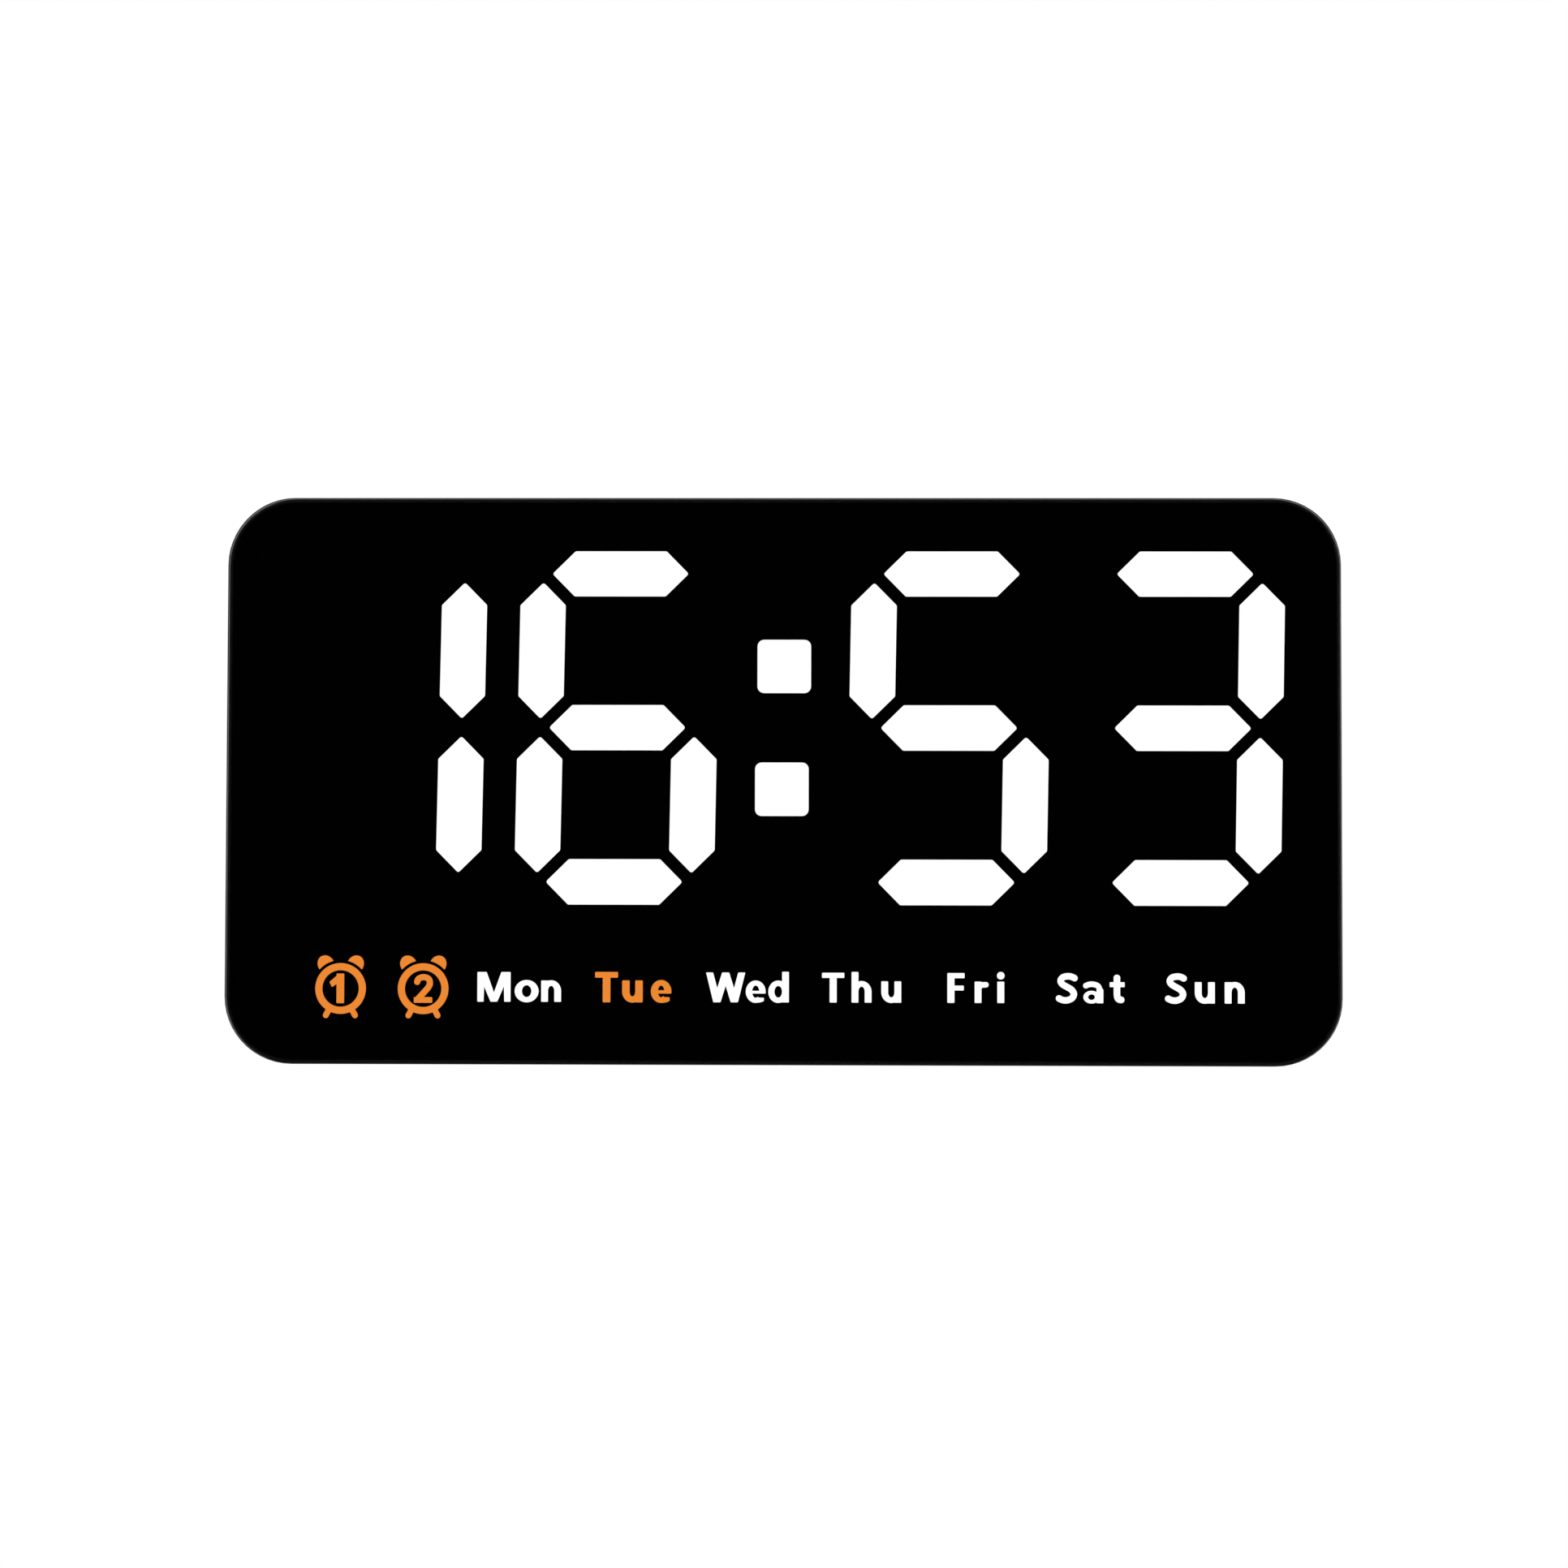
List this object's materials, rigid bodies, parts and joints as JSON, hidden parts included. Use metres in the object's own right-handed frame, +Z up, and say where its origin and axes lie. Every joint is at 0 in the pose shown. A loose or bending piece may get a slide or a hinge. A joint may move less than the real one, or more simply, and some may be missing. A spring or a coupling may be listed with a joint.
{
  "type": "digital wall clock",
  "caption": "Slim rounded LED wall clock with a smoked front lens, seven-segment figures, weekday row, rear buttons, hinged battery door and keyholes for wall screws.",
  "frame": {"origin": "on the wall plane, midway between the entries of the two keyholes", "axes": "+X to the right as seen from the front, +Y into the wall, +Z up; the face looks along -Y"},
  "size_m": [0.165, 0.0261, 0.084],
  "materials": {
    "smoked_lens": "polished smoked acrylic",
    "black_case": "fine spark texture",
    "black_tape": "foam tape",
    "black_film": "printed film",
    "white_reflector": "satin",
    "white_light": "lit diffuser",
    "orange_light": "lit diffuser",
    "dark_diffuser": "unlit smoked diffuser",
    "green_board": "solder mask",
    "led_body": "moulded",
    "screw_steel": "black zinc",
    "chip_black": "moulded",
    "tin_can": "drawn",
    "capacitor_can": "drawn",
    "resistor_body": "fired",
    "grey_button": "satin",
    "switch_plunger": "moulded",
    "cell_jacket": "coated",
    "contact_nickel": "nickel plated",
    "red_lead": "insulation",
    "black_lead": "insulation"
  },
  "bodies": {
    "clock_case": {"front_lens": "smoked_lens", "front_frame": "black_case", "rear_cover": "black_case", "lens_tape": "black_tape", "legend_film": "black_film", "reflector_block": "white_reflector", "hour_tens_lit": "white_light", "hour_units_lit": "white_light", "minute_tens_lit": "white_light", "minute_units_lit": "white_light", "colon_dots": "white_light", "monday_light": "white_light", "wednesday_light": "white_light", "thursday_light": "white_light", "friday_light": "white_light", "saturday_light": "white_light", "sunday_light": "white_light", "tuesday_light": "orange_light", "alarm_1_light": "orange_light", "alarm_2_light": "orange_light", "hour_tens_dark": "dark_diffuser", "hour_units_dark": "dark_diffuser", "minute_tens_dark": "dark_diffuser", "minute_units_dark": "dark_diffuser", "display_board": "green_board", "segment_leds": "led_body", "case_screws": "screw_steel", "board_screws": "screw_steel", "microcontroller": "chip_black", "driver_chips": "chip_black", "buzzer": "chip_black", "push_switches": "chip_black", "quartz_crystal": "tin_can", "usb_socket": "tin_can", "capacitors": "capacitor_can", "chip_resistors": "resistor_body", "battery_cells": "cell_jacket", "battery_contacts": "contact_nickel", "battery_springs": "contact_nickel", "battery_lead_red": "red_lead", "battery_lead_black": "black_lead"},
    "battery_door": {"battery_door": "black_case"},
    "mode_button": {"mode_button": "grey_button", "mode_plunger": "switch_plunger"},
    "set_button": {"set_button": "grey_button", "set_plunger": "switch_plunger"},
    "up_button": {"up_button": "grey_button", "up_plunger": "switch_plunger"},
    "down_button": {"down_button": "grey_button", "down_plunger": "switch_plunger"},
    "alarm_button": {"alarm_button": "grey_button", "alarm_plunger": "switch_plunger"}
  },
  "joints": [
    {"name": "battery_door_hinge", "type": "hinge", "parent": "clock_case", "child": "battery_door", "pos_m": [0, -0.0013, -0.0091], "axis": [1, 0, 0], "range_deg": [0, 90]},
    {"name": "mode_button_press", "type": "slide", "parent": "clock_case", "child": "mode_button", "axis": [0, -1, 0], "range_m": [0, 0.0006], "stiffness_N_per_m": 400, "springref_m": -0.002},
    {"name": "set_button_press", "type": "slide", "parent": "clock_case", "child": "set_button", "axis": [0, -1, 0], "range_m": [0, 0.0006], "stiffness_N_per_m": 400, "springref_m": -0.002},
    {"name": "up_button_press", "type": "slide", "parent": "clock_case", "child": "up_button", "axis": [0, -1, 0], "range_m": [0, 0.0006], "stiffness_N_per_m": 400, "springref_m": -0.002},
    {"name": "down_button_press", "type": "slide", "parent": "clock_case", "child": "down_button", "axis": [0, -1, 0], "range_m": [0, 0.0006], "stiffness_N_per_m": 400, "springref_m": -0.002},
    {"name": "alarm_button_press", "type": "slide", "parent": "clock_case", "child": "alarm_button", "axis": [0, -1, 0], "range_m": [0, 0.0006], "stiffness_N_per_m": 400, "springref_m": -0.002}
  ]
}
